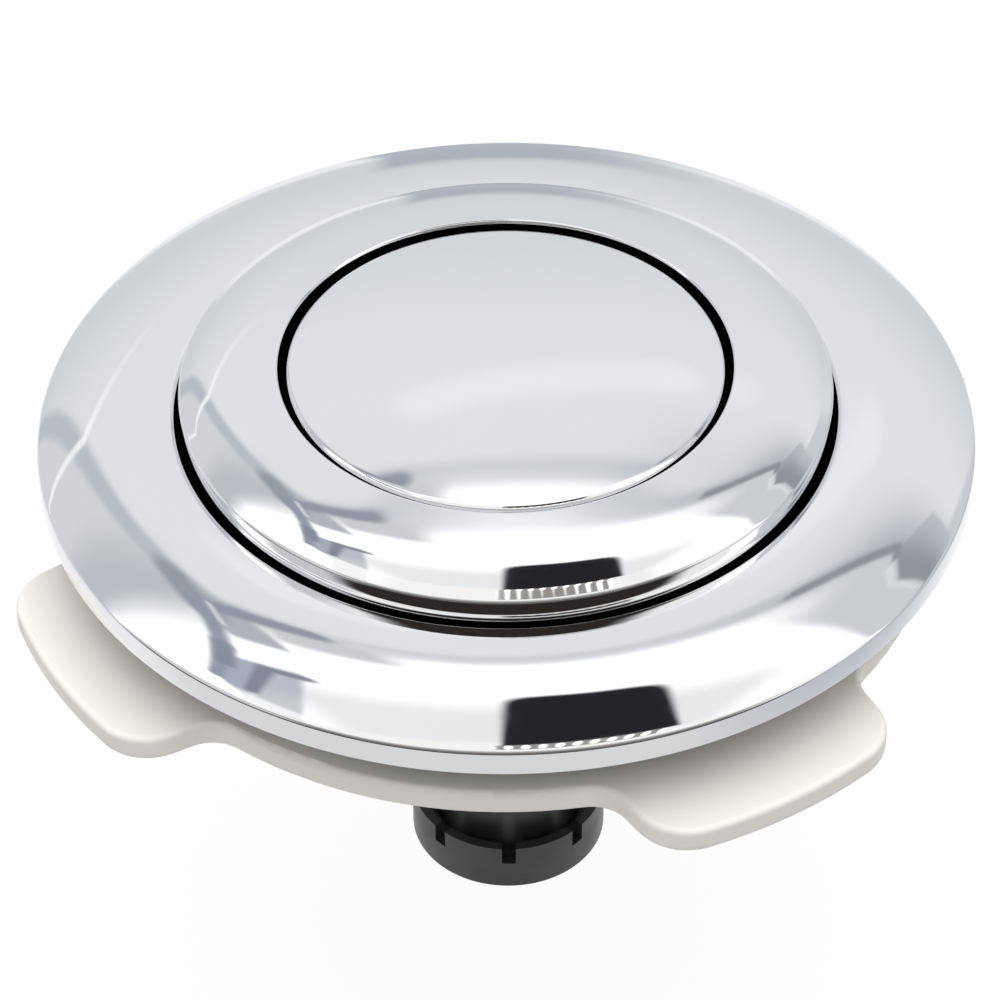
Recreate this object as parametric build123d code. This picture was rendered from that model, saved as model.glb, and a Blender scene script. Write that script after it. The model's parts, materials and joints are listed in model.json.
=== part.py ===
from build123d import *
import os
from math import acos, degrees, hypot, radians, sin

# Push button cistern actuator: two nested buttons in a round bezel, clamped to a
# cistern lid by a wing nut. Millimetres. The origin is the centre of the bezel's
# lower rim, which lies on the lid, and +Z points up out of the lid.

# Clearances
running = 0.08
slip = 0.1
seat_gap = 0.05
stop_gap = 0.5

# Threaded shank and guide body
shank_d = 56.4
shank_wall = 1.8
shank_length = 13.0
shank_lead_in = 0.8
step_floor = 1.4
flange_width = 4.8
flange_thickness = 1.0
spigot_wall = 1.1
spigot_depth = 1.2
bowl_gap = 0.6
bowl_wall = 1.4
bowl_floor = 1.5
bowl_edge = 1.2
guide_wall = 2.3
guide_length = 7.5
guide_edge = 0.6
gusset_count = 6
gusset_thickness = 1.6
gusset_drop = 6.0
drain_count = 6
drain_d = 4.0

# Bezel
rim_height = 2.1
rim_wall = 1.6
rim_edge = 0.4
rim_roof = 0.7
bezel_rise = 2.3
bezel_stretch = 1.2
bezel_wall = 1.4
opening_roll = 0.5
hook_count = 6
hook_arc = 10.0
hook_wall = 1.0
hook_reach = 0.5
hook_lip = 0.4
gasket_width = 1.6

# Wing nut and its washer
lid_gap = 5.0
nut_clearance = 0.5
nut_plate_thickness = 2.5
nut_hub_wall = 2.8
nut_hub_height = 2.8
nut_rim_width = 3.2
nut_top_edge = 0.5
nut_lower_edge = 0.9
nut_hub_edge = 0.5
wing_count = 4
wing_turn = 31.2
wing_reach = 6.5
wing_width = 22.8
wing_taper = 1.4
wing_corner = 4.5
wing_root = 3.0
wing_rib_thickness = 2.0
wing_rib_depth = 2.4
washer_width = 2.3
washer_thickness = 0.9
washer_recess = 0.5

# Ring button
ring_gap = 0.4
ring_band = 7.95
ring_stand = 3.95
ring_crown = 2.3
ring_wall = 1.3
ring_skirt = 7.2
ring_collar = 6.0
ring_edge = 0.4
ring_travel = 5.0
ring_boss_d = 4.6
ring_boss_drop = 7.0
screw_count = 3
screw_d = 2.0
screw_length = 6.0
screw_head_d = 4.2
screw_head_height = 1.3
screw_slot_width = 0.6
screw_slot_depth = 0.6

# Ring carrier, tube and foot
carrier_flange = 1.2
cup_gap = 0.9
cup_wall = 1.2
cup_floor = 1.5
cup_hub_width = 4.0
cup_window_count = 3
cup_window_arc = 72.0
cup_window_margin = 1.4
tube_d = 13.2
tube_length = 35.15
tube_bore_gap = 0.4
tube_land = 6.0
clip_groove = 0.6
clip_width = 2.0
clip_thickness = 1.0
clip_mouth = 8.0
buffer_width = 2.3
buffer_thickness = 1.2
foot_wall = 1.75
foot_height = 5.0
foot_grip = 2.0
foot_recess = 1.6
foot_rim = 0.8
foot_notch_count = 8
foot_notch_width = 1.2
foot_notch_depth = 1.8
foot_edge = 0.4

# Centre button and rod
centre_gap = 0.6
centre_drop = 0.4
centre_crown = 1.45
centre_wall = 1.3
centre_skirt = 4.5
centre_edge = 0.5
centre_boss_d = 12.0
centre_boss_length = 5.7
centre_travel = 5.0
rod_d = 8.4
rod_socket = 4.5
rod_groove = 0.7
rod_clip_width = 1.8
rod_clip_thickness = 0.8
rod_clip_mouth = 5.0
rod_buffer_thickness = 0.8
rod_tip_wall = 1.4
rod_tip_length = 2.6
rod_tip_floor = 1.0
rod_tip_edge = 0.6

# Springs
ring_spring_wire = 1.2
ring_spring_turns = 5
ring_spring_d = 18.6
centre_spring_wire = 0.9
centre_spring_turns = 5
centre_spring_d = 16.4

# Radii that follow from the shank outward and inward
shank_r = shank_d / 2
bore_r = shank_r - shank_wall
flange_r = shank_r + flange_width
hook_r = flange_r + slip + hook_wall
gasket_r = hook_r + slip + gasket_width
bezel_r = gasket_r + slip + rim_wall
ring_r = bore_r - ring_gap
ring_hole_r = ring_r - ring_band
centre_r = ring_hole_r - centre_gap
cup_r = centre_r + cup_gap
cup_outer_r = cup_r + cup_wall
bowl_r = cup_outer_r + bowl_gap
tube_r = tube_d / 2
rod_r = rod_d / 2
guide_r = tube_r + running
guide_outer_r = guide_r + guide_wall
foot_r = tube_r + seat_gap + foot_wall
boss_circle_r = (ring_hole_r + ring_r) / 2

# Heights, from the lid seat at zero
crest_z = rim_height + bezel_rise
underside_z = crest_z - bezel_wall
roof_z = rim_height - rim_roof
flange_top_z = seat_gap * 2 + hook_lip + flange_thickness
flange_under_z = flange_top_z - flange_thickness
spigot_z = flange_top_z - spigot_depth
ring_top_z = crest_z + ring_stand
ring_shoulder_z = ring_top_z - ring_crown
ring_boss_z = ring_top_z - ring_boss_drop
centre_edge_z = ring_top_z - centre_drop
centre_under_z = centre_edge_z - centre_wall
centre_boss_z = centre_under_z - centre_boss_length
cup_floor_z = centre_boss_z - centre_travel - stop_gap
cup_under_z = cup_floor_z - cup_floor
spring_room = ring_spring_turns * ring_spring_wire + stop_gap + ring_travel
bowl_floor_z = cup_under_z - spring_room
bowl_under_z = bowl_floor_z - bowl_floor
guide_end_z = bowl_under_z - guide_length
buffer_top_z = guide_end_z - seat_gap
tube_clip_z = buffer_top_z - buffer_thickness
tube_end_z = cup_under_z - tube_length
foot_end_z = tube_end_z - (foot_height - foot_grip)
rod_buffer_z = tube_end_z - seat_gap
rod_clip_z = rod_buffer_z - rod_buffer_thickness
tip_top_z = rod_clip_z - rod_clip_thickness - slip
tip_end_z = tip_top_z - rod_tip_length
rod_end_z = tip_end_z + rod_tip_floor
rod_top_z = centre_boss_z + rod_socket
nut_top_z = -lid_gap
nut_under_z = nut_top_z - nut_plate_thickness
nut_end_z = nut_under_z - nut_hub_height


def turned_polygon(*points, arc=360):
    """Revolve a straight-sided half-section about the Z axis."""
    return revolve(Plane.XZ * make_face(Polyline(*points, close=True)), Axis.Z, arc)


def corner(section, radius, height):
    """Vertex of a flat half-section at the given radius and height."""
    return section.vertices().sort_by_distance((radius, height, 0))[0]


def tube_solid(outer, inner, low, high):
    """Plain ring between two radii and two heights."""
    return turned_polygon((inner, low), (outer, low), (outer, high), (inner, high))


def disc(radius, low, high, x=0, y=0):
    """Plain cylinder between two heights."""
    return Pos(x, y, low) * extrude(Circle(radius), high - low)


def around(count, piece, first=0):
    """Copies of a piece at equal turns about the Z axis."""
    return [Rot(0, 0, first + 360 * i / count) * piece for i in range(count)]


def make_bezel():
    roll_r = bore_r + opening_roll
    spigot_r = bore_r + spigot_wall
    rim_r = bezel_r - rim_wall
    start = degrees(acos(1 / bezel_stretch))
    axis_z = bezel_rise / (1 - sin(radians(start)))
    axis_r = (bezel_r - roll_r) * bezel_stretch
    dome = EllipticalCenterArc(
        (roll_r, crest_z - axis_z), axis_r, axis_z, start_angle=start, arc_size=90 - start
    )
    roll = TangentArc((roll_r, crest_z), (bore_r, crest_z - opening_roll), tangent=(-1, 0))
    under = Polyline(
        (bore_r, crest_z - opening_roll),
        (bore_r, spigot_z),
        (spigot_r, spigot_z),
        (spigot_r, underside_z),
        (hook_r, roof_z),
        (rim_r, roof_z),
        (rim_r, 0),
        (bezel_r, 0),
        (bezel_r, rim_height),
    )
    section = make_face(Curve() + [dome, roll, under])
    section = fillet(corner(section, bezel_r, rim_height), rim_edge)
    shell = revolve(Plane.XZ * section, Axis.Z)
    inner = flange_r + slip
    root_z = (underside_z + roof_z) / 2
    tip_z = flange_under_z - seat_gap
    hook = turned_polygon(
        (inner, root_z),
        (hook_r, root_z),
        (hook_r, tip_z - hook_lip),
        (flange_r - hook_reach, tip_z - hook_lip),
        (flange_r - hook_reach, tip_z),
        (inner, tip_z),
        arc=hook_arc,
    )
    return shell + around(hook_count, hook)


def make_guide_body():
    seat_r = bore_r + spigot_wall + slip
    bowl_outer_r = bowl_r + bowl_wall
    step_z = -shank_length
    outline = Polyline(
        (seat_r, flange_top_z),
        (flange_r, flange_top_z),
        (flange_r, flange_under_z),
        (shank_r, flange_under_z),
        (shank_r, step_z),
        (bowl_outer_r, step_z),
        (bowl_outer_r, bowl_under_z),
        (guide_outer_r, bowl_under_z),
        (guide_outer_r, guide_end_z),
        (guide_r, guide_end_z),
        (guide_r, bowl_floor_z),
        (bowl_r, bowl_floor_z),
        (bowl_r, step_z + step_floor),
        (bore_r, step_z + step_floor),
        (bore_r, spigot_z),
        (seat_r, spigot_z),
        close=True,
    )
    section = make_face(outline)
    section = chamfer(corner(section, shank_r, step_z), shank_lead_in)
    section = fillet(corner(section, bowl_outer_r, bowl_under_z), bowl_edge)
    section = chamfer(corner(section, guide_outer_r, guide_end_z), guide_edge)
    body = revolve(Plane.XZ * section, Axis.Z)
    gusset_face = Polyline(
        (guide_r + guide_wall / 2, bowl_under_z),
        (bowl_r, bowl_under_z),
        (guide_outer_r, bowl_under_z - gusset_drop),
        (guide_r + guide_wall / 2, bowl_under_z - gusset_drop),
        close=True,
    )
    gusset = extrude(Plane.XZ * make_face(gusset_face), gusset_thickness / 2, both=True)
    drain_r = (ring_spring_d / 2 + bowl_r) / 2
    drain = disc(drain_d / 2, bowl_under_z - stop_gap, bowl_floor_z + stop_gap, drain_r)
    half_step = 180 / gusset_count
    return body + around(gusset_count, gusset) - around(drain_count, drain, half_step)


def make_rim_gasket():
    return tube_solid(gasket_r, hook_r + slip, 0, roof_z)


def wing_outline():
    """Nut plate with rounded wings, as a flat face."""
    plate_r = shank_r + nut_clearance + nut_hub_wall + nut_rim_width
    tip_r = plate_r + wing_reach
    root_x = plate_r - wing_reach
    half_root = wing_width / 2
    half_tip = half_root - wing_taper / 2
    wing = make_face(
        Polyline(
            (root_x, -half_root),
            (tip_r, -half_tip),
            (tip_r, half_tip),
            (root_x, half_root),
            close=True,
        )
    )
    wing = wing & Circle(tip_r)
    wing = fillet(wing.vertices().sort_by(Axis.X)[-2:], wing_corner)
    outline = Circle(plate_r) + around(wing_count, wing, wing_turn)
    roots = [v for v in outline.vertices() if abs(hypot(v.X, v.Y) - plate_r) < slip]
    return fillet(roots, wing_root), tip_r


def make_wing_nut():
    outline, tip_r = wing_outline()
    hole_r = shank_r + nut_clearance
    hub_r = hole_r + nut_hub_wall
    plate = Pos(0, 0, nut_under_z) * extrude(outline, nut_plate_thickness)
    plate = fillet(plate.faces().sort_by(Axis.Z)[-1].edges(), nut_top_edge)
    plate = fillet(plate.faces().sort_by(Axis.Z)[0].edges(), nut_lower_edge)
    rib_face = Polyline(
        (hub_r - nut_hub_wall / 2, nut_under_z),
        (tip_r - wing_corner, nut_under_z),
        (hub_r, nut_under_z - wing_rib_depth),
        (hub_r - nut_hub_wall / 2, nut_under_z - wing_rib_depth),
        close=True,
    )
    rib = extrude(Plane.XZ * make_face(rib_face), wing_rib_thickness / 2, both=True)
    hub = disc(hub_r, nut_end_z, nut_under_z)
    hub = chamfer(hub.faces().sort_by(Axis.Z)[0].edges(), nut_hub_edge)
    recess_r = hole_r + slip + washer_width + slip
    recess = disc(recess_r, nut_top_z - washer_recess, nut_top_z)
    bore = disc(hole_r, nut_end_z, nut_top_z)
    return plate + hub + around(wing_count, rib, wing_turn) - recess - bore


def make_nut_washer():
    low = nut_top_z - washer_recess + seat_gap
    inner = shank_r + nut_clearance + slip
    return tube_solid(inner + washer_width, inner, low, low + washer_thickness)


def quarter_ellipse(inner, outer, low, high):
    """Quarter ellipse that leaves an outer wall upright and ends level at an inner one."""
    return EllipticalCenterArc((inner, low), outer - inner, high - low, arc_size=90)


def make_ring_button():
    skirt_z = ring_shoulder_z - ring_skirt
    collar_z = ring_top_z - ring_collar
    inner_r = ring_r - ring_wall
    collar_r = ring_hole_r + ring_wall
    crown = quarter_ellipse(ring_hole_r, ring_r, ring_shoulder_z, ring_top_z)
    under = quarter_ellipse(
        collar_r, inner_r, ring_shoulder_z - ring_wall / 2, ring_top_z - ring_wall
    )
    collar = Polyline(
        crown @ 1, (ring_hole_r, collar_z), (collar_r, collar_z), under @ 1
    )
    skirt = Polyline(under @ 0, (inner_r, skirt_z), (ring_r, skirt_z), crown @ 0)
    section = make_face(Curve() + [crown, collar, under, skirt])
    section = fillet(corner(section, ring_hole_r, ring_top_z), ring_edge)
    shell = revolve(Plane.XZ * section, Axis.Z)
    boss_top = ring_shoulder_z + ring_crown / 4
    boss = disc(ring_boss_d / 2, ring_boss_z, boss_top, boss_circle_r)
    pilot = disc(screw_d / 2 + slip, ring_boss_z, ring_boss_z + screw_length, boss_circle_r)
    return shell + around(screw_count, boss) - around(screw_count, pilot)


def make_ring_carrier():
    flange_r_out = ring_r - ring_wall - slip
    flange_z = ring_boss_z - carrier_flange
    bore = rod_r + tube_bore_gap
    land = rod_r + running
    body = turned_polygon(
        (land, cup_floor_z),
        (cup_r, cup_floor_z),
        (cup_r, ring_boss_z),
        (flange_r_out, ring_boss_z),
        (flange_r_out, flange_z),
        (cup_outer_r, flange_z),
        (cup_outer_r, cup_under_z),
        (tube_r, cup_under_z),
        (tube_r, tube_end_z),
        (land, tube_end_z),
        (land, tube_end_z + tube_land),
        (bore, tube_end_z + tube_land),
        (bore, cup_floor_z - tube_land),
        (land, cup_floor_z - tube_land),
    )
    window = turned_polygon(
        (tube_r + cup_hub_width, cup_under_z),
        (cup_r - cup_window_margin, cup_under_z),
        (cup_r - cup_window_margin, cup_floor_z),
        (tube_r + cup_hub_width, cup_floor_z),
        arc=cup_window_arc,
    )
    hole = disc(screw_d / 2 + slip, flange_z, ring_boss_z, boss_circle_r)
    groove_r = tube_r - clip_groove
    groove = tube_solid(tube_r + slip, groove_r, tube_clip_z - clip_thickness, tube_clip_z)
    return body - around(cup_window_count, window) - around(screw_count, hole) - groove


def make_ring_screw(index):
    """Pan-head screw that holds the ring button on its carrier."""
    head_z = ring_boss_z - carrier_flange
    head = disc(screw_head_d / 2, head_z - screw_head_height, head_z)
    head = fillet(head.faces().sort_by(Axis.Z)[0].edges(), screw_head_height / 2)
    shank = disc(screw_d / 2, head_z, head_z + screw_length)
    slot = Box(screw_head_d, screw_slot_width, screw_slot_depth * 2)
    screw = head + shank - Pos(0, 0, head_z - screw_head_height) * slot
    return Rot(0, 0, 360 * index / screw_count) * Pos(boss_circle_r, 0, 0) * screw


def snap_ring(outer, inner, low, thickness, mouth):
    """Open spring clip that snaps into a groove from the side."""
    opening = Pos(outer, 0, low + thickness / 2) * Box(outer * 2, mouth, thickness * 2)
    return tube_solid(outer, inner, low, low + thickness) - opening


def make_pusher_foot():
    grip_r = tube_r + seat_gap
    top_z = foot_end_z + foot_height
    outline = Polyline(
        (grip_r, foot_end_z),
        (foot_r, foot_end_z),
        (foot_r, top_z),
        (foot_r - foot_rim, top_z),
        (foot_r - foot_rim, top_z - foot_recess),
        (grip_r, top_z - foot_recess),
        close=True,
    )
    section = make_face(outline)
    section = chamfer(corner(section, foot_r, foot_end_z), foot_edge)
    body = revolve(Plane.XZ * section, Axis.Z)
    notch = Pos(foot_r, 0, top_z) * Box(foot_wall, foot_notch_width, foot_notch_depth * 2)
    return body - around(foot_notch_count, notch)


def make_centre_button():
    top_z = centre_edge_z + centre_crown
    skirt_z = centre_edge_z - centre_skirt
    inner_r = centre_r - centre_wall
    boss_r = centre_boss_d / 2
    dome = TangentArc((0, top_z), (centre_r, centre_edge_z), tangent=(1, 0))
    rest = Polyline(
        (centre_r, centre_edge_z),
        (centre_r, skirt_z),
        (inner_r, skirt_z),
        (inner_r, centre_under_z),
        (boss_r, centre_under_z),
        (boss_r, centre_boss_z),
        (0, centre_boss_z),
        (0, top_z),
    )
    section = make_face(Curve() + [dome, rest])
    section = fillet(corner(section, centre_r, centre_edge_z), centre_edge)
    cap = revolve(Plane.XZ * section, Axis.Z)
    return cap - disc(rod_r + seat_gap, centre_boss_z, rod_top_z)


def make_centre_rod():
    rod = disc(rod_r, rod_end_z, rod_top_z)
    groove_r = rod_r - rod_groove
    low = rod_clip_z - rod_clip_thickness
    return rod - tube_solid(rod_r + slip, groove_r, low, rod_clip_z)


def make_rod_tip():
    tip = disc(rod_r + seat_gap + rod_tip_wall, tip_end_z, tip_top_z)
    tip = fillet(tip.faces().sort_by(Axis.Z)[0].edges(), rod_tip_edge)
    return tip - disc(rod_r + seat_gap, rod_end_z, tip_top_z)


def make_spring(mean_d, wire, turns, low, high):
    """Helical wire that fills the room between two flat seats."""
    height = high - low - wire - seat_gap * 2
    path = Helix(height / turns, height, mean_d / 2)
    section = Plane(path @ 0, z_dir=path % 0) * Circle(wire / 2)
    return Pos(0, 0, low + wire / 2 + seat_gap) * sweep(section, path, is_frenet=True)


clip_inner = tube_r - clip_groove + seat_gap
rod_clip_inner = rod_r - rod_groove + seat_gap
rod_clip_r = rod_r + rod_clip_width
clip_low = tube_clip_z - clip_thickness
rod_clip_low = rod_clip_z - rod_clip_thickness

parts = {
    "bezel": make_bezel(),
    "guide_body": make_guide_body(),
    "rim_gasket": make_rim_gasket(),
    "wing_nut": make_wing_nut(),
    "nut_washer": make_nut_washer(),
    "ring_button": make_ring_button(),
    "ring_carrier": make_ring_carrier(),
    "ring_spring": make_spring(
        ring_spring_d, ring_spring_wire, ring_spring_turns, bowl_floor_z, cup_under_z
    ),
    "buffer_washer": tube_solid(
        tube_r + buffer_width, tube_r + seat_gap, tube_clip_z, buffer_top_z
    ),
    "tube_clip": snap_ring(
        tube_r + clip_width, clip_inner, clip_low, clip_thickness, clip_mouth
    ),
    "pusher_foot": make_pusher_foot(),
    "centre_button": make_centre_button(),
    "centre_rod": make_centre_rod(),
    "centre_spring": make_spring(
        centre_spring_d, centre_spring_wire, centre_spring_turns, cup_floor_z, centre_under_z
    ),
    "rod_buffer": tube_solid(rod_clip_r, rod_r + seat_gap, rod_clip_z, rod_buffer_z),
    "rod_clip": snap_ring(
        rod_clip_r, rod_clip_inner, rod_clip_low, rod_clip_thickness, rod_clip_mouth
    ),
    "rod_tip": make_rod_tip(),
}
for number in range(screw_count):
    parts[f"ring_screw_{number + 1}"] = make_ring_screw(number)

os.makedirs("parts", exist_ok=True)
for name, solid in parts.items():
    export_step(solid, f"parts/{name}.step")
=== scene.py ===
import json
import math

import bmesh
import bpy
from mathutils import Matrix, Vector


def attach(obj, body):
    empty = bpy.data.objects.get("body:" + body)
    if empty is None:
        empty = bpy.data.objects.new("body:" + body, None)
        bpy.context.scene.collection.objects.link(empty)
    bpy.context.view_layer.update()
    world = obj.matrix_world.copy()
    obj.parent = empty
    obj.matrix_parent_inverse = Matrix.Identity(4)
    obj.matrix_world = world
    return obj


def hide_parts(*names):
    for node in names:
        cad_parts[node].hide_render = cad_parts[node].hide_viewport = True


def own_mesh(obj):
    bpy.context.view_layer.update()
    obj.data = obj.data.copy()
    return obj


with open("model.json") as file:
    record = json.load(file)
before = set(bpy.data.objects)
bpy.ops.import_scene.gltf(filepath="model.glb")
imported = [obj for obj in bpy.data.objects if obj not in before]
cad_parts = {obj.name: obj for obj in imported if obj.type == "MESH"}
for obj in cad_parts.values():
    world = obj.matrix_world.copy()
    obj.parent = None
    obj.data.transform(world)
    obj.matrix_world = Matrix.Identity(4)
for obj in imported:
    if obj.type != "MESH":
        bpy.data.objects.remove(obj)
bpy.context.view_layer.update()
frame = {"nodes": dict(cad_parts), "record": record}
nodes = frame["nodes"]
scene = bpy.context.scene
MM = 0.001

# Sizes in millimetres, the same as in the part's source
BEZEL_R, BORE_R, SPIGOT_R = 37.5, 26.4, 27.5
RIM_H, RIM_EDGE, RIM_WALL, ROOF_Z = 2.1, 0.4, 1.6, 1.4
CREST_Z, BEZEL_STRETCH, BEZEL_WALL, ROLL, SPIGOT_Z = 4.4, 1.2, 1.4, 0.5, 0.3
HOOK_IN, HOOK_R, HOOK_LIP_R = 33.1, 34.1, 32.5
HOOK_LOW, HOOK_LIP_Z, HOOK_TOP, HOOK_ARC, HOOK_COUNT = 0.05, 0.45, 2.2, 10.0, 6
RING_R, RING_HOLE_R, RING_WALL, RING_EDGE = 26.0, 18.05, 1.3, 0.4
RING_TOP, RING_CROWN, RING_SKIRT_Z, RING_COLLAR_Z = 8.35, 2.3, -1.15, 2.35
RING_LIP, RING_LEAN, SHOULDER_LEAN, RING_STEPS = 0.2, 7.7, 30.4, 120
BOSS_R, BOSS_AT, BOSS_LOW, BOSS_TOP, BOSS_COUNT = 2.3, 22.025, 1.35, 6.6, 3
CENTRE_R, CENTRE_EDGE_Z, CENTRE_CROWN, CENTRE_EDGE = 17.45, 7.95, 1.45, 0.5
CENTRE_SKIRT_Z, CENTRE_WALL, CENTRE_UNDER_Z = 3.45, 1.3, 6.65
CENTRE_BOSS_R, CENTRE_BOSS_Z, SOCKET_R, SOCKET_TOP = 6.0, 0.95, 4.25, 5.45
SHANK_R, THREAD_R, THREAD_PITCH = 28.2, 28.6, 3.0
THREAD_LOW, THREAD_HIGH = -12.0, -0.6
THREAD_SINK, THREAD_FOOT, THREAD_FLAT, THREAD_RUN_OUT = 0.05, 1.5, 0.7, 1 / 16
RING_SPRING = dict(d=18.6, wire=1.2, turns=5, low=-17.55, high=-6.05)
CENTRE_SPRING = dict(d=16.4, wire=0.9, turns=5, low=-4.55, high=6.65)
SEAT_GAP = 0.05
FLOOR_Z, FLOOR_R, FLOOR_FADE_FROM, FLOOR_FADE_TO = -55.7, 100, 62, 92
TENT_R = 3000
SEGMENTS = 384


# Meshes

def arc(cx, cz, rx, rz, start, end, count):
    """Points on an ellipse arc; angles in degrees from +r towards +z."""
    turn = [math.radians(start + (end - start) * i / count) for i in range(count + 1)]
    return [(cx + rx * math.cos(a), cz + rz * math.sin(a)) for a in turn]


def domed_edge(r0, top, axis_r, axis_z, outer, edge, count):
    """Ellipse arc that is level at (r0, top) and is rounded into the wall at the outer radius."""
    low, high = math.acos((outer - r0) / axis_r), math.pi / 2
    for _ in range(50):
        t = (low + high) / 2
        normal = Vector((math.cos(t) / axis_r, math.sin(t) / axis_z)).normalized()
        inset_r = r0 + axis_r * math.cos(t) - edge * normal.x
        low, high = (t, high) if inset_r > outer - edge else (low, t)
    inset_z = top - axis_z + axis_z * math.sin(t) - edge * normal.y
    dome = arc(r0, top - axis_z, axis_r, axis_z, 90, math.degrees(t), count)
    lean = math.degrees(math.atan2(normal.y, normal.x))
    return dome + arc(outer - edge, inset_z, edge, edge, lean, 0, 10)[1:]


def lathe(bm, profile, segments=SEGMENTS):
    """Closed half-section turned about Z into a bmesh."""
    rings = []
    for r, z in profile:
        if r < 1e-6:
            rings.append([bm.verts.new((0, 0, z * MM))])
            continue
        step = 2 * math.pi / segments
        rings.append([
            bm.verts.new((r * MM * math.cos(step * i), r * MM * math.sin(step * i), z * MM))
            for i in range(segments)
        ])
    for a, b in zip(rings, rings[1:] + rings[:1]):
        if len(a) == 1 and len(b) == 1:
            continue
        for i in range(segments):
            j = (i + 1) % segments
            ring = [a[i % len(a)], b[i % len(b)], b[j % len(b)], a[j % len(a)]]
            bm.faces.new(list(dict.fromkeys(ring)))


def arc_block(bm, r0, r1, z0, z1, start, sweep, count=8):
    """Block between two radii and heights over part of a turn."""
    sections = []
    for i in range(count + 1):
        a = math.radians(start + sweep * i / count)
        sections.append([
            bm.verts.new((r * MM * math.cos(a), r * MM * math.sin(a), z * MM))
            for r, z in ((r0, z0), (r1, z0), (r1, z1), (r0, z1))
        ])
    for a, b in zip(sections, sections[1:]):
        for k in range(4):
            bm.faces.new((a[k], a[(k + 1) % 4], b[(k + 1) % 4], b[k]))
    bm.faces.new(sections[0][::-1])
    bm.faces.new(sections[-1])


def helix_sweep(bm, section, turns, low, high, per_turn):
    """Closed section (radius, height offsets) swept along a helix and capped."""
    count = int(turns * per_turn)
    rows = []
    for i in range(count + 1):
        a = 2 * math.pi * turns * i / count
        z = low + (high - low) * i / count
        rows.append([
            bm.verts.new((r * MM * math.cos(a), r * MM * math.sin(a), (z + rise) * MM))
            for r, rise in section(i / count)
        ])
    n = len(rows[0])
    for a, b in zip(rows, rows[1:]):
        for k in range(n):
            bm.faces.new((a[k], a[(k + 1) % n], b[(k + 1) % n], b[k]))
    bm.faces.new(rows[0][::-1])
    bm.faces.new(rows[-1])


def finish_mesh(name, bm, material, sharp=32):
    """Object from a bmesh, smooth apart from edges sharper than an angle in degrees."""
    bmesh.ops.recalc_face_normals(bm, faces=bm.faces)
    mesh = bpy.data.meshes.new(name)
    bm.to_mesh(mesh)
    bm.free()
    mesh.polygons.foreach_set("use_smooth", [True] * len(mesh.polygons))
    mesh.set_sharp_from_angle(angle=math.radians(sharp))
    mesh.materials.append(material)
    obj = bpy.data.objects.new(name, mesh)
    scene.collection.objects.link(obj)
    return obj


# Node helpers

class Graph:
    """Short way to write shader nodes: values or sockets in, a socket out."""

    def __init__(self, tree):
        self.tree = tree
        tree.nodes.clear()

    def node(self, kind, **settings):
        made = self.tree.nodes.new(kind)
        for key, value in settings.items():
            setattr(made, key, value)
        return made

    def put(self, socket, value):
        if isinstance(value, bpy.types.NodeSocket):
            self.tree.links.new(value, socket)
        else:
            socket.default_value = value

    def math(self, op, a, b=0.0, c=0.0):
        made = self.node("ShaderNodeMath", operation=op)
        for socket, value in zip(made.inputs, (a, b, c)):
            self.put(socket, value)
        return made.outputs[0]

    def step(self, value, low, high):
        """0 at low, 1 at high, smooth between; low may be the larger one."""
        made = self.node("ShaderNodeMapRange", interpolation_type="SMOOTHSTEP")
        self.put(made.inputs["Value"], value)
        self.put(made.inputs["From Min"], low)
        self.put(made.inputs["From Max"], high)
        return made.outputs["Result"]

    def band(self, value, low, high, soft):
        """1 between low and high, fading over soft on both sides."""
        rise = self.step(value, low - soft, low + soft)
        fall = self.step(value, high - soft, high + soft)
        return self.math("SUBTRACT", rise, fall)

    def mix(self, factor, a, b):
        made = self.node("ShaderNodeMix", data_type="RGBA")
        self.put(made.inputs["Factor"], factor)
        self.put(made.inputs["A"], a)
        self.put(made.inputs["B"], b)
        return made.outputs["Result"]

    def noise(self, vector, scale, detail=4.0, rough=0.5):
        made = self.node("ShaderNodeTexNoise")
        self.put(made.inputs["Vector"], vector)
        self.put(made.inputs["Scale"], scale)
        self.put(made.inputs["Detail"], detail)
        self.put(made.inputs["Roughness"], rough)
        return made.outputs["Fac"]

    def object_coords(self):
        return self.node("ShaderNodeTexCoord").outputs["Object"]

    def bump(self, height, distance):
        made = self.node("ShaderNodeBump")
        self.put(made.inputs["Height"], height)
        self.put(made.inputs["Strength"], 1.0)
        self.put(made.inputs["Distance"], distance)
        return made

    def light_path(self, output):
        return self.node("ShaderNodeLightPath").outputs[output]

    def finish(self, shader, kind="ShaderNodeOutputMaterial"):
        self.tree.links.new(shader.outputs[0], self.node(kind).inputs["Surface"])


def new_material(name):
    material = bpy.data.materials.new(name)
    material.use_nodes = True
    return material, Graph(material.node_tree)


def surface(name, colours, roughness, metallic=0.0, grain=900.0, grain_depth=2e-6,
            wave=None, **constants):
    """Procedural finish: two close colours, two close roughnesses, a fine grain and a slow wave."""
    material, g = new_material(name)
    shader = g.node("ShaderNodeBsdfPrincipled")
    coords = g.object_coords()
    patches = g.noise(coords, 90.0, 5.0)
    g.put(shader.inputs["Base Color"], g.mix(patches, (*colours[0], 1), (*colours[1], 1)))
    low, high = roughness
    spots = g.step(g.noise(coords, 260.0, 6.0, 0.6), 0.35, 0.75)
    g.put(shader.inputs["Roughness"], g.math("MULTIPLY_ADD", spots, high - low, low))
    g.put(shader.inputs["Metallic"], metallic)
    relief = g.bump(g.noise(coords, grain, 3.0), grain_depth)
    if wave:
        wave_scale, wave_depth = wave
        slow = g.bump(g.noise(coords, wave_scale, 1.0), wave_depth)
        g.put(slow.inputs["Normal"], relief.outputs["Normal"])
        relief = slow
    g.put(shader.inputs["Normal"], relief.outputs["Normal"])
    for socket, value in constants.items():
        shader.inputs[socket.replace("_", " ")].default_value = value
    g.finish(shader)
    return material


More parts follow.
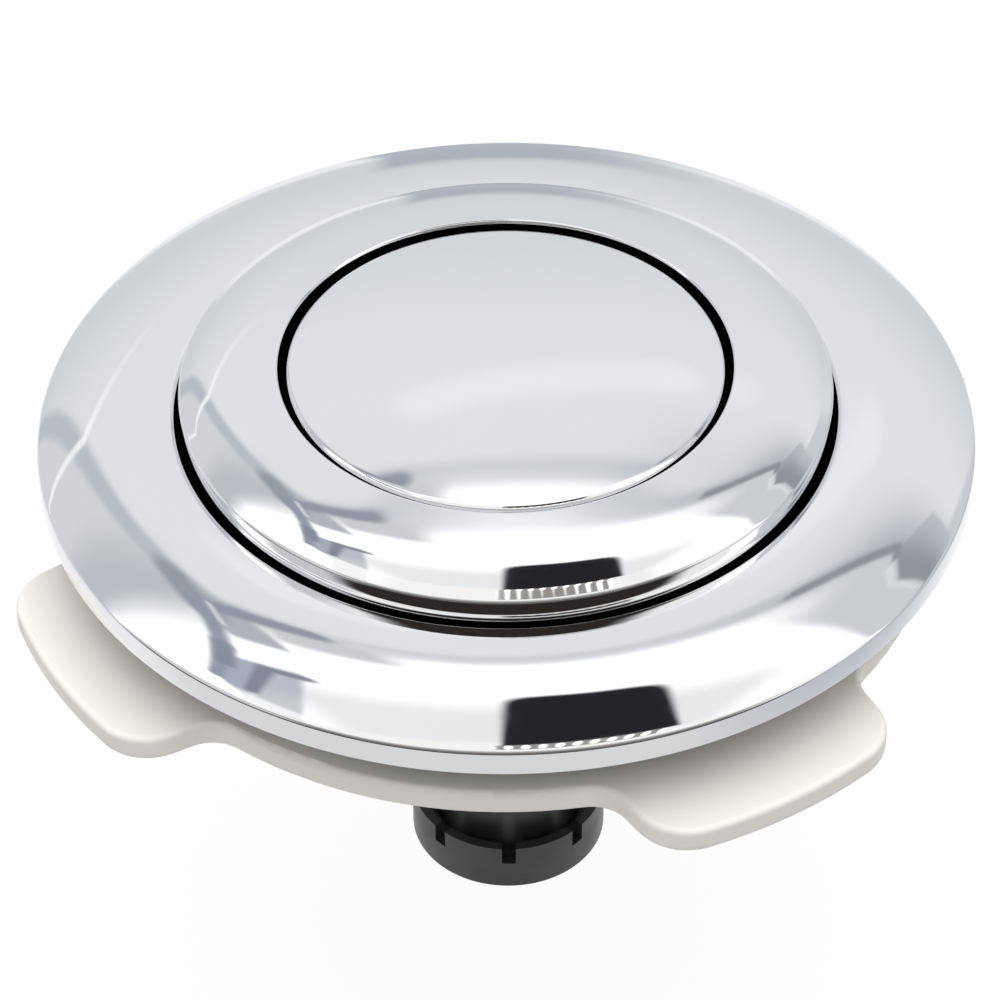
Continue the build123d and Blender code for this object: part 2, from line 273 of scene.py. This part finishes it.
chrome = surface("chrome", ((0.90, 0.905, 0.915), (0.88, 0.885, 0.895)), (0.025, 0.05),
                 1.0, grain=1500.0, grain_depth=1e-7, wave=(45.0, 1.2e-5))
white = surface("white_plastic", ((0.90, 0.865, 0.815), (0.875, 0.84, 0.79)), (0.42, 0.55),
                grain=1600.0, grain_depth=1.2e-5)
black = surface("black_plastic", ((0.020, 0.020, 0.022), (0.028, 0.028, 0.030)), (0.38, 0.5),
                grain=1800.0, grain_depth=1e-5)
steel = surface("steel", ((0.58, 0.58, 0.59), (0.50, 0.50, 0.51)), (0.22, 0.36), 1.0,
                grain=2200.0, grain_depth=5e-6)
rubber = surface("rubber", ((0.030, 0.030, 0.032), (0.042, 0.042, 0.044)), (0.7, 0.85),
                 grain=1400.0, grain_depth=2e-5)
finishes = dict(chrome=chrome, white_plastic=white, black_plastic=black, steel=steel, rubber=rubber)

for entry in frame["record"]["subparts"]:
    piece = nodes[entry["node"]]
    piece.data.materials.clear()
    piece.data.materials.append(finishes[entry["material_slot"]])


# Chrome pieces, turned much finer than the solids so that their reflections run clean

bm = bmesh.new()
rim_in = BEZEL_R - RIM_WALL
dome_r = (BEZEL_R - BORE_R - ROLL) * BEZEL_STRETCH
dome_z = (CREST_Z - RIM_H) / (1 - math.sin(math.acos(1 / BEZEL_STRETCH)))
section = domed_edge(BORE_R + ROLL, CREST_Z, dome_r, dome_z, BEZEL_R, RIM_EDGE, 60)
section += [(BEZEL_R, 0), (rim_in, 0), (rim_in, ROOF_Z), (HOOK_R, ROOF_Z)]
section += [(SPIGOT_R, CREST_Z - BEZEL_WALL), (SPIGOT_R, SPIGOT_Z), (BORE_R, SPIGOT_Z)]
section += arc(BORE_R + ROLL, CREST_Z - ROLL, ROLL, ROLL, 180, 90, 12)[:-1]
lathe(bm, section)
for k in range(HOOK_COUNT):
    start = 360 / HOOK_COUNT * k
    arc_block(bm, HOOK_IN, HOOK_R, HOOK_LOW, HOOK_TOP, start, HOOK_ARC)
    arc_block(bm, HOOK_LIP_R, HOOK_IN, HOOK_LOW, HOOK_LIP_Z, start, HOOK_ARC)
bezel = finish_mesh("bezel_plated", bm, chrome)
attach(bezel, "housing")
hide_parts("bezel")

# The ring's top follows its elliptical crown, but is never flatter or steeper than the two leans
bm = bmesh.new()
shoulder = RING_TOP - RING_CROWN
span = RING_R - RING_HOLE_R
section = arc(RING_HOLE_R + RING_LIP, RING_TOP - RING_LIP, RING_LIP, RING_LIP, 180, 90 + RING_LEAN, 8)
r, z = section[-1]
last_r = RING_R - RING_EDGE * (1 - math.sin(math.radians(SHOULDER_LEAN)))
run = (last_r - r) / RING_STEPS
for i in range(RING_STEPS):
    x = min((r + run / 2 - RING_HOLE_R) / span, 0.98)
    crown_lean = math.degrees(math.atan(RING_CROWN / span * x / math.sqrt(1 - x * x)))
    lean = min((RING_LEAN ** 4 + crown_lean ** 4) ** 0.25, SHOULDER_LEAN)
    r += run
    z -= run * math.tan(math.radians(lean))
    section.append((r, z))
corner_z = z - RING_EDGE * math.cos(math.radians(SHOULDER_LEAN))
section += arc(RING_R - RING_EDGE, corner_z, RING_EDGE, RING_EDGE, 90 - SHOULDER_LEAN, 0, 10)[1:]
section += [(RING_R, RING_SKIRT_Z), (RING_R - RING_WALL, RING_SKIRT_Z)]
collar = RING_HOLE_R + RING_WALL
section += arc(collar, shoulder - RING_WALL / 2, RING_R - RING_WALL - collar,
               RING_CROWN - RING_WALL / 2, 0, 90, 16)
section += [(collar, RING_COLLAR_Z), (RING_HOLE_R, RING_COLLAR_Z)]
lathe(bm, section)
for k in range(BOSS_COUNT):
    made = bmesh.ops.create_cone(
        bm, cap_ends=True, segments=48, radius1=BOSS_R * MM, radius2=BOSS_R * MM,
        depth=(BOSS_TOP - BOSS_LOW) * MM)
    place = Matrix.Rotation(math.radians(360 / BOSS_COUNT * k), 4, "Z") @ Matrix.Translation(
        (BOSS_AT * MM, 0, (BOSS_TOP + BOSS_LOW) / 2 * MM))
    bmesh.ops.transform(bm, matrix=place, verts=made["verts"])
ring = finish_mesh("ring_button_plated", bm, chrome)
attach(ring, "ring")
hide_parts("ring_button")

bm = bmesh.new()
ball = (CENTRE_R ** 2 + CENTRE_CROWN ** 2) / (2 * CENTRE_CROWN)
section = domed_edge(0, CENTRE_EDGE_Z + CENTRE_CROWN, ball, ball, CENTRE_R, CENTRE_EDGE, 60)
inner = CENTRE_R - CENTRE_WALL
section += [(CENTRE_R, CENTRE_SKIRT_Z), (inner, CENTRE_SKIRT_Z), (inner, CENTRE_UNDER_Z)]
section += [(CENTRE_BOSS_R, CENTRE_UNDER_Z), (CENTRE_BOSS_R, CENTRE_BOSS_Z)]
section += [(SOCKET_R, CENTRE_BOSS_Z), (SOCKET_R, SOCKET_TOP), (0, SOCKET_TOP)]
lathe(bm, section)
centre = finish_mesh("centre_button_plated", bm, chrome)
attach(centre, "centre")
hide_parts("centre_button")


# Thread on the shank

def thread_section(t):
    """Trapezoid ridge that runs out at both ends; t goes from 0 to 1 along the helix."""
    root = SHANK_R - THREAD_SINK
    crest = root + (THREAD_R - root) * min(1.0, t / THREAD_RUN_OUT, (1 - t) / THREAD_RUN_OUT)
    foot, flat = THREAD_FOOT / 2, THREAD_FLAT / 2
    return [(root, -foot), (crest, -flat), (crest, flat), (root, foot)]


bm = bmesh.new()
thread_from, thread_to = THREAD_LOW + THREAD_FOOT / 2, THREAD_HIGH - THREAD_FOOT / 2
helix_sweep(bm, thread_section, (thread_to - thread_from) / THREAD_PITCH, thread_from, thread_to, 180)
thread = finish_mesh("shank_thread", bm, black)
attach(thread, "housing")


# Return springs

def coil(name, spec, body, node):
    """Wire coil between its seats."""
    low = spec["low"] + SEAT_GAP + spec["wire"] / 2
    high = spec["high"] - SEAT_GAP - spec["wire"] / 2
    wire_points = arc(spec["d"] / 2, 0, spec["wire"] / 2, spec["wire"] / 2, 0, 360, 14)[:-1]
    bm = bmesh.new()
    helix_sweep(bm, lambda t: wire_points, spec["turns"], low, high, 64)
    made = finish_mesh(name, bm, steel)
    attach(made, body)
    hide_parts(node)
    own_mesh(made)


coil("ring_spring_coil", RING_SPRING, "housing", "ring_spring")
coil("centre_spring_coil", CENTRE_SPRING, "ring", "centre_spring")


# Floor: a white table that fades out into the white surroundings and is clear from below

FLOOR_COLOUR, FLOOR_GLOW, FLOOR_GLOW_ON_PLASTIC = (0.12, 0.12, 0.12, 1), 0.89, 0.39
floor_material, g = new_material("floor")
diffuse = g.node("ShaderNodeBsdfDiffuse")
diffuse.inputs["Color"].default_value = FLOOR_COLOUR
lift = g.node("ShaderNodeEmission")
dimmer = FLOOR_GLOW_ON_PLASTIC - FLOOR_GLOW
g.put(lift.inputs["Strength"], g.math("MULTIPLY_ADD", g.light_path("Is Diffuse Ray"), dimmer, FLOOR_GLOW))
table = g.node("ShaderNodeAddShader")
g.put(table.inputs[0], diffuse.outputs[0])
g.put(table.inputs[1], lift.outputs[0])
clear = g.node("ShaderNodeBsdfTransparent")
reach = g.node("ShaderNodeVectorMath", operation="LENGTH")
g.put(reach.inputs[0], g.object_coords())
fade = g.step(reach.outputs["Value"], FLOOR_FADE_FROM * MM, FLOOR_FADE_TO * MM)
from_below = g.node("ShaderNodeNewGeometry").outputs["Backfacing"]
edge = g.node("ShaderNodeMixShader")
g.put(edge.inputs[0], g.math("MAXIMUM", fade, from_below))
g.put(edge.inputs[1], table.outputs[0])
g.put(edge.inputs[2], clear.outputs[0])
g.finish(edge)
bm = bmesh.new()
bmesh.ops.create_circle(bm, cap_ends=True, segments=128, radius=FLOOR_R * MM)
floor = finish_mesh("floor", bm, floor_material)
floor.location.z = FLOOR_Z * MM


# Light tent round the table, painted by direction. In degrees, over is the angle from the far horizon
# over the top, and side the angle to the right of it.

PLATING_REFLECTS = 0.9


def shown(*screen):
    """Light that the plating shows as this screen colour."""
    linear = [((v / 255 + 0.055) / 1.055) ** 2.4 / PLATING_REFLECTS for v in screen]
    return (*linear, 1)


def grey(level):
    return (level, level, level, 1)


tent_material, g = new_material("light_tent")
tent_material.cycles.emission_sampling = "NONE"
unit = g.node("ShaderNodeVectorMath", operation="NORMALIZE")
g.put(unit.inputs[0], g.object_coords())
split = g.node("ShaderNodeSeparateXYZ")
g.put(split.inputs[0], unit.outputs[0])
dx, dy, dz = split.outputs
over = g.math("DEGREES", g.math("ARCTAN2", dz, dy))
side = g.math("DEGREES", g.math("ARCSINE", dx))


def line(slope, at, base=None):
    """Slope times the angle over the top, or another one, plus a constant."""
    return g.math("MULTIPLY_ADD", over if base is None else base, slope, at)


def minus(a, b):
    return g.math("SUBTRACT", a, b)


def both(*factors):
    """1 where all the factors are 1."""
    product = factors[0]
    for factor in factors[1:]:
        product = g.math("MULTIPLY", product, factor)
    return product


def length(a, b):
    return g.math("SQRT", g.math("ADD", g.math("MULTIPLY", a, a), g.math("MULTIPLY", b, b)))


def stroke(points, width, soft):
    """1 within the width of a chain of straight strokes, given as side and over, fading over soft."""
    nearest = None
    for (side_from, over_from), (side_to, over_to) in zip(points, points[1:]):
        run, rise = side_to - side_from, over_to - over_from
        size = run * run + rise * rise
        off_side, off_over = minus(side, side_from), minus(over, over_from)
        along = g.math("MULTIPLY_ADD", off_side, run / size, g.math("MULTIPLY", off_over, rise / size))
        along = g.math("MINIMUM", g.math("MAXIMUM", along, 0.0), 1.0)
        away = length(
            g.math("MULTIPLY_ADD", along, -run, off_side), g.math("MULTIPLY_ADD", along, -rise, off_over))
        nearest = away if nearest is None else g.math("MINIMUM", nearest, away)
    return g.step(nearest, width + soft, width)


# Walls: a corner on the left with a pale thread across it, the edge of a panel on the right, and a
# pale streak high on the far wall
light = g.mix(g.step(over, 8, 44), shown(206, 209, 211), shown(224, 225, 228))
light = g.mix(g.step(minus(side, line(0.62, -50.6)), 0.8, -0.8), light, shown(209, 210, 213))
light = g.mix(stroke([(-41, 16), (-16.5, 55)], 0.8, 2.4), light, shown(184, 188, 195))
light = g.mix(g.step(side, 41, 44), light, shown(200, 203, 207))
thread_line = both(stroke([(-47, 36.5), (-25, 38), (-12, 32)], 0.3, 0.6), g.step(side, -10, -27))
light = g.mix(both(thread_line, 0.85), light, shown(250, 250, 250))
streak = both(stroke([(12, 41.5), (0, 44.5), (-6, 46.5)], 0.8, 2.5), 0.8)
light = g.mix(streak, light, shown(235, 236, 239))

# Ceiling: bright, greyer overhead
overhead = both(g.step(over, 69, 82), g.band(side, -21, 27, 5))
ceiling = g.mix(overhead, grey(1.3), shown(233, 234, 235))
ceiling = g.mix(g.step(over, 97, 101), ceiling, shown(245, 244, 242))
ceiling = g.mix(both(g.step(over, 82, 96), g.step(side, -34, -44)), ceiling, shown(205, 206, 208))

# Dark join of wall and ceiling: a fold on the left, a thin seam, a wedge on the right
join = both(g.step(over, 46, 57), g.step(side, -13, -21))
light = g.mix(join, light, shown(187, 190, 195))
edge_at = g.math("MAXIMUM", line(-0.25, 54, side), 57.5)
edge_end = g.math("MULTIPLY_ADD", g.step(side, -15, -22), 6.0, 2.5)
light = g.mix(g.step(minus(over, edge_at), -2.5, edge_end), light, ceiling)
depth = g.math("MAXIMUM", g.step(side, -4, -13), g.step(side, 6, 16))
seam = both(stroke([(-17, 57), (0, 56.3), (28, 53.5)], 0.5, 2.2), g.math("MULTIPLY_ADD", depth, 0.4, 0.4))
light = g.mix(seam, light, shown(172, 176, 183))
above = both(g.step(over, 43, 54), g.step(over, 55.5, 53.5), g.step(side, 6, 26))
light = g.mix(above, light, shown(178, 181, 187))
wedge_end = g.step(minus(over, line(0.6, 52, side)), 1.5, -1.5)
light = g.mix(both(g.step(over, 53.5, 55.5), wedge_end, g.step(side, 8, 24)), light, shown(203, 205, 208))
core = g.math("MINIMUM", minus(over, line(-1.33, 91.4, side)), minus(line(0.85, 30.3, side), over))
core = g.math("MINIMUM", g.math("MINIMUM", core, line(1, -46.8)), line(-1, 60.3))
tone = g.mix(g.step(over, 47, 57), shown(186, 189, 195), shown(145, 148, 154))
light = g.mix(g.step(core, -0.6, 0.9), light, tone)
light = g.mix(stroke([(29.5, 57.2), (34, 61), (45, 62)], 0.3, 0.8), light, shown(216, 218, 221))
light = g.mix(stroke([(14, 54.9), (28, 53.5), (29.2, 55)], 0.3, 1.2), light, shown(142, 146, 153))

# Folds that hang down on the left
block = both(g.band(side, -18.2, -12.8, 0.6), g.band(over, 56, 64.3, 0.9))
light = g.mix(block, light, shown(177, 180, 187))
light = g.mix(both(g.band(side, -12.8, -5, 1.5), g.band(over, 57, 61.5, 1.2)), light, shown(203, 204, 207))
fold_left = g.math("MAXIMUM", line(-0.71, 27.1), -31.0)
fold = both(g.step(minus(side, fold_left), -0.6, 0.6), g.step(minus(side, line(-0.38, 12.3)), 0.6, -0.6))
fold = both(fold, g.step(over, 70.4, 72.4))
fade = g.step(minus(over, line(1.1, 120.1, side)), -2.5, 2.5)
fold = both(fold, g.math("MULTIPLY_ADD", fade, -0.55, 1.0))
tone = g.mix(g.step(over, 78, 90), shown(186, 189, 198), shown(200, 203, 206))
tone = g.mix(g.step(minus(side, line(-0.62, 25.9)), 0.6, -0.6), tone, shown(168, 172, 186))
light = g.mix(fold, light, tone)
creases = (
    ([(-18, 54), (-18.2, 59)], 1.0, 2.2, shown(150, 155, 163)),
    ([(-18.1, 58.5), (-19.1, 62.4), (-22, 69), (-31, 82)], 0.5, 1.3, shown(146, 152, 166)),
    ([(-21.6, 68), (-25.5, 75)], 0.8, 1.3, shown(136, 143, 158)),
    ([(-16, 57.8), (-13.3, 57.1), (-8.5, 56.5)], 0.5, 1.2, shown(146, 151, 162)),
    ([(-15.3, 73.3), (-19.1, 72.8), (-22.6, 78.3), (-27.4, 86)], 0.4, 1.2, shown(133, 137, 149)),
)
for points, width, soft, tone in creases:
    light = g.mix(stroke(points, width, soft), light, tone)
light = g.mix(both(stroke([(-16.4, 57.4), (-17.6, 61.5)], 0.15, 0.4), 0.7), light, shown(222, 224, 228))

# Opening overhead with a row of lamps along its front edge
room = g.math("SMOOTH_MIN", minus(side, line(-0.02, 1.3)), minus(line(0.348, -13.9), side), 4.0)
room = g.math("SMOOTH_MIN", room, line(1, -71.4), 5.0)
front_edge = minus(line(-0.15, 101.2, side), over)
room = g.math("MINIMUM", room, front_edge)
light = g.mix(g.step(room, -0.7, 0.5), light, shown(36, 36, 40))
strip = both(g.band(front_edge, -4.6, 0, 0.5), g.band(side, -1.6, 18.5, 0.8))
light = g.mix(both(strip, 0.85), light, shown(118, 113, 110))
LAMP_SPACING, LAMP_WIDTH, LAMP_LENGTH, LAMP_COLOUR = 2.06, 0.6, 1.9, (2.2, 2.15, 2.05, 1)
across = g.math("DIVIDE", g.math("PINGPONG", side, LAMP_SPACING / 2), LAMP_WIDTH)
along = g.math("DIVIDE", g.math("ADD", front_edge, LAMP_LENGTH), LAMP_LENGTH)
light = g.mix(both(strip, g.step(length(across, along), 1.1, 0.6)), light, LAMP_COLOUR)

# Dim room in front, which is dark where one plated piece shows it in another, pale ground with a dark
# near edge, and a dim post on the far side
front = g.mix(g.step(over, 135, 165), shown(178, 176, 175), shown(116, 112, 110))
front = g.mix(g.step(over, 167, 177), front, shown(52, 48, 46))
twice_mirrored = g.math("GREATER_THAN", g.light_path("Glossy Depth"), 1.5)
front = g.mix(twice_mirrored, front, shown(45, 41, 39))
light = g.mix(both(g.step(over, 117, 127), g.band(side, -46, 52, 8)), light, front)
ground = g.mix(g.step(dy, -0.2, 0.2), shown(213, 213, 214), shown(232, 233, 235))
ground = g.mix(g.step(side, 25, 55), ground, shown(183, 187, 193))
dark = both(g.step(dz, -0.5, -0.38), g.step(dy, 0.2, -0.2), g.step(side, 66, 54))
light = g.mix(g.step(dz, 0.02, -0.12), light, g.mix(dark, ground, shown(52, 48, 46)))
post = both(g.step(side, -6.2, -4.6), g.step(side, 11, 2), g.band(over, -24, 12, 4))
light = g.mix(both(post, g.step(dy, 0.0, 0.2), 0.92), light, shown(168, 175, 183))

# Plastic and rubber are lit alike from all round, mostly from above
even = g.mix(g.step(dz, -0.1, 0.1), grey(0.5), grey(0.1))
even = g.mix(g.step(dz, 0.15, 0.85), even, grey(1.85))
glow = g.node("ShaderNodeEmission")
g.put(glow.inputs["Color"], g.mix(g.light_path("Is Diffuse Ray"), light, even))
g.finish(glow)
bm = bmesh.new()
bmesh.ops.create_icosphere(bm, subdivisions=5, radius=TENT_R * MM)
tent = finish_mesh("light_tent", bm, tent_material)
tent.visible_camera = False

world = bpy.data.worlds.new("white")
scene.world = world
world.use_nodes = True
g = Graph(world.node_tree)
plain = g.node("ShaderNodeBackground")
plain.inputs["Color"].default_value = grey(1)
g.finish(plain, "ShaderNodeOutputWorld")


# Camera, fitted to the rims in the photograph. Its distance and offset are in bezel radii, its angles
# in degrees and its focal length in pixels of the photograph.

DISTANCE, OFFSET, ELEVATION, PITCH, CAMERA_ROLL = 8.0, -0.014, 40.40, 41.63, -0.45
FOCAL_PX, IMAGE_PX, SENSOR = 3739.0, 1000, 36.0
camera = bpy.data.cameras.new("camera")
camera.sensor_width = SENSOR
camera.lens = FOCAL_PX / IMAGE_PX * SENSOR
camera.clip_start = 0.01
eye = bpy.data.objects.new("camera", camera)
tilt = math.radians(ELEVATION)
bezel_r = BEZEL_R * MM
place = Matrix.Translation((
    OFFSET * bezel_r, -DISTANCE * math.cos(tilt) * bezel_r,
    RIM_H * MM + DISTANCE * math.sin(tilt) * bezel_r))
pitched = Matrix.Rotation(math.radians(90 - PITCH), 4, "X")
eye.matrix_world = place @ pitched @ Matrix.Rotation(math.radians(CAMERA_ROLL), 4, "Z")
scene.collection.objects.link(eye)
scene.camera = eye
scene.view_settings.view_transform = "Standard"
